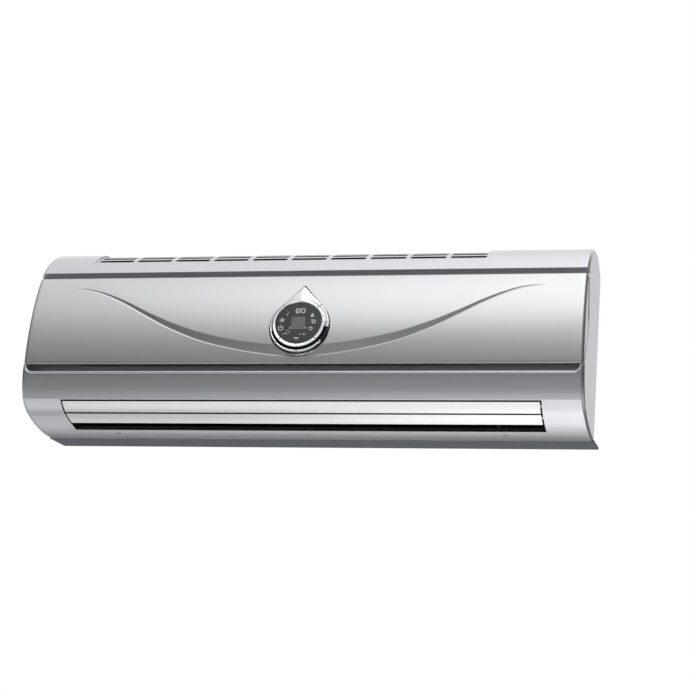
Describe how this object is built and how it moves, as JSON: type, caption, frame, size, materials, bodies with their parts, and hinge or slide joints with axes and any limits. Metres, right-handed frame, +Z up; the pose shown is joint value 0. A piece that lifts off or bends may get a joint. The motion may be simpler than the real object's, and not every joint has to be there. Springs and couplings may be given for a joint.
{
  "type": "mini split indoor unit",
  "caption": "Long silver wall-mounted air conditioner indoor unit with a convex front panel, round display in a chrome bezel, top grille, cross-flow fan, coil and swing vanes.",
  "frame": {"origin": "centre of the four wall screw holes, on the wall face of the mounting plate", "axes": "+X along the length to the unit's right as seen from the room, +Y into the wall, +Z up"},
  "size_m": [0.86, 0.2213, 0.2959],
  "materials": {
    "casing_silver": "silver metallic paint, satin",
    "panel_silver": "silver metallic paint, satin",
    "vane_silver": "pale silver, satin",
    "bezel_chrome": "bright chrome plating",
    "lens_grey": "dark tinted, glossy",
    "window_grey": "lighter grey, satin",
    "chassis_grey": "blue-grey, matt",
    "inner_plastic": "off-white, matt",
    "black_plastic": "black, matt",
    "pan_plastic": "dark grey, matt",
    "galvanised_steel": "galvanised",
    "bright_steel": "turned, bright",
    "fin_aluminium": "thin fins",
    "copper_tube": "drawn copper",
    "nut_brass": "machined",
    "rubber_black": "moulded",
    "bronze_bush": "sintered bronze",
    "motor_metal": "plated sheet",
    "board_green": "lacquered board",
    "net_grey": "fine woven net"
  },
  "bodies": {
    "unit": {"air_outlet_frame": "black_plastic", "bearing_rubber_mount": "rubber_black", "casing_screws": "bright_steel", "coil_end_plate_left": "galvanised_steel", "coil_end_plate_right": "galvanised_steel", "coil_return_bends": "copper_tube", "control_board": "board_green", "control_box": "inner_plastic", "control_box_cover": "galvanised_steel", "drain_pan": "pan_plastic", "fan_bearing_bush": "bronze_bush", "fan_motor": "motor_metal", "front_casing": "casing_silver", "front_lower_coil": "fin_aluminium", "front_upper_coil": "fin_aluminium", "gas_flare_nut": "nut_brass", "gas_pipe": "copper_tube", "liquid_flare_nut": "nut_brass", "liquid_pipe": "copper_tube", "motor_clamp": "galvanised_steel", "pipe_clamp": "inner_plastic", "rear_chassis": "chassis_grey", "rear_coil": "fin_aluminium", "room_sensor": "black_plastic", "switch_housing": "inner_plastic", "terminal_block": "inner_plastic", "transformer": "black_plastic", "vane_motor": "motor_metal", "wall_plate": "galvanised_steel"},
    "fan": {"fan_rotor": "black_plastic", "fan_stub_axle": "bright_steel", "motor_shaft": "bright_steel"},
    "panel": {"front_panel": "panel_silver", "display_bezel": "bezel_chrome", "display_lens": "lens_grey", "display_window": "window_grey", "display_housing": "black_plastic", "display_board": "board_green", "infrared_receiver": "black_plastic"},
    "upper_vane": {"upper_vane": "vane_silver", "upper_vane_crank": "inner_plastic", "vane_motor_shaft": "bright_steel"},
    "lower_vane": {"lower_vane": "vane_silver", "lower_vane_crank": "inner_plastic"},
    "vane_link": {"vane_link": "inner_plastic"},
    "left_filter": {"left_filter_frame": "inner_plastic", "left_filter_net": "net_grey"},
    "right_filter": {"right_filter_frame": "inner_plastic", "right_filter_net": "net_grey"},
    "button": {"emergency_button": "inner_plastic"},
    "left_deflector_1": {"left_deflector_1": "black_plastic"},
    "left_deflector_2": {"left_deflector_2": "black_plastic"},
    "left_deflector_3": {"left_deflector_3": "black_plastic"},
    "left_deflector_4": {"left_deflector_4": "black_plastic"},
    "left_bar": {"left_deflector_bar": "black_plastic"},
    "right_deflector_1": {"right_deflector_1": "black_plastic"},
    "right_deflector_2": {"right_deflector_2": "black_plastic"},
    "right_deflector_3": {"right_deflector_3": "black_plastic"},
    "right_deflector_4": {"right_deflector_4": "black_plastic"},
    "right_bar": {"right_deflector_bar": "black_plastic"}
  },
  "joints": [
    {"name": "fan_spin", "type": "hinge", "parent": "unit", "child": "fan", "pos_m": [0, -0.094, -0.042], "axis": [1, 0, 0], "continuous": true},
    {"name": "panel_hinge", "type": "hinge", "parent": "unit", "child": "panel", "pos_m": [0, -0.15969, 0.0859], "axis": [-1, 0, 0], "range_deg": [0, 65]},
    {"name": "upper_vane_swing", "type": "hinge", "parent": "unit", "child": "upper_vane", "pos_m": [0, -0.1911, -0.1122], "axis": [1, 0, 0], "range_deg": [0, 65]},
    {"name": "lower_vane_swing", "type": "hinge", "parent": "unit", "child": "lower_vane", "pos_m": [0, -0.1675, -0.125], "axis": [1, 0, 0], "range_deg": [0, 65]},
    {"name": "vane_link_turn", "type": "hinge", "parent": "upper_vane", "child": "vane_link", "pos_m": [-0.37, -0.18224, -0.11064], "axis": [1, 0, 0], "range_deg": [-65, 0]},
    {"name": "left_filter_lift", "type": "hinge", "parent": "unit", "child": "left_filter", "pos_m": [-0.1955, -0.0488, 0.0071], "axis": [-1, 0, 0], "range_deg": [0, 3]},
    {"name": "right_filter_lift", "type": "hinge", "parent": "unit", "child": "right_filter", "pos_m": [0.12375, -0.0488, 0.0071], "axis": [-1, 0, 0], "range_deg": [0, 3]},
    {"name": "emergency_press", "type": "slide", "parent": "unit", "child": "button", "axis": [0, 1, 0], "range_m": [0, 0.002], "stiffness_N_per_m": 400, "springref_m": -0.0015},
    {"name": "left_deflector_1_swing", "type": "hinge", "parent": "unit", "child": "left_deflector_1", "pos_m": [-0.044, -0.15847, -0.09215], "axis": [0, -0.3082, 0.9513], "range_deg": [-30, 30]},
    {"name": "left_deflector_2_swing", "type": "hinge", "parent": "unit", "child": "left_deflector_2", "pos_m": [-0.132, -0.15847, -0.09215], "axis": [0, -0.3082, 0.9513], "range_deg": [-30, 30]},
    {"name": "left_deflector_3_swing", "type": "hinge", "parent": "unit", "child": "left_deflector_3", "pos_m": [-0.22, -0.15847, -0.09215], "axis": [0, -0.3082, 0.9513], "range_deg": [-30, 30]},
    {"name": "left_deflector_4_swing", "type": "hinge", "parent": "unit", "child": "left_deflector_4", "pos_m": [-0.308, -0.15847, -0.09215], "axis": [0, -0.3082, 0.9513], "range_deg": [-30, 30]},
    {"name": "left_bar_turn", "type": "hinge", "parent": "left_deflector_1", "child": "left_bar", "pos_m": [-0.044, -0.16819, -0.10434], "axis": [0, -0.3082, 0.9513], "range_deg": [-30, 30]},
    {"name": "right_deflector_1_swing", "type": "hinge", "parent": "unit", "child": "right_deflector_1", "pos_m": [0.044, -0.15847, -0.09215], "axis": [0, -0.3082, 0.9513], "range_deg": [-30, 30]},
    {"name": "right_deflector_2_swing", "type": "hinge", "parent": "unit", "child": "right_deflector_2", "pos_m": [0.132, -0.15847, -0.09215], "axis": [0, -0.3082, 0.9513], "range_deg": [-30, 30]},
    {"name": "right_deflector_3_swing", "type": "hinge", "parent": "unit", "child": "right_deflector_3", "pos_m": [0.22, -0.15847, -0.09215], "axis": [0, -0.3082, 0.9513], "range_deg": [-30, 30]},
    {"name": "right_deflector_4_swing", "type": "hinge", "parent": "unit", "child": "right_deflector_4", "pos_m": [0.308, -0.15847, -0.09215], "axis": [0, -0.3082, 0.9513], "range_deg": [-30, 30]},
    {"name": "right_bar_turn", "type": "hinge", "parent": "right_deflector_1", "child": "right_bar", "pos_m": [0.044, -0.16819, -0.10434], "axis": [0, -0.3082, 0.9513], "range_deg": [-30, 30]}
  ],
  "couplings": [
    {"joint": "lower_vane_swing", "follows": "upper_vane_swing", "ratio": 1},
    {"joint": "vane_link_turn", "follows": "upper_vane_swing", "ratio": -1},
    {"joint": "left_deflector_2_swing", "follows": "left_deflector_1_swing", "ratio": 1},
    {"joint": "left_deflector_3_swing", "follows": "left_deflector_1_swing", "ratio": 1},
    {"joint": "left_deflector_4_swing", "follows": "left_deflector_1_swing", "ratio": 1},
    {"joint": "left_bar_turn", "follows": "left_deflector_1_swing", "ratio": -1},
    {"joint": "right_deflector_2_swing", "follows": "right_deflector_1_swing", "ratio": 1},
    {"joint": "right_deflector_3_swing", "follows": "right_deflector_1_swing", "ratio": 1},
    {"joint": "right_deflector_4_swing", "follows": "right_deflector_1_swing", "ratio": 1},
    {"joint": "right_bar_turn", "follows": "right_deflector_1_swing", "ratio": -1}
  ]
}
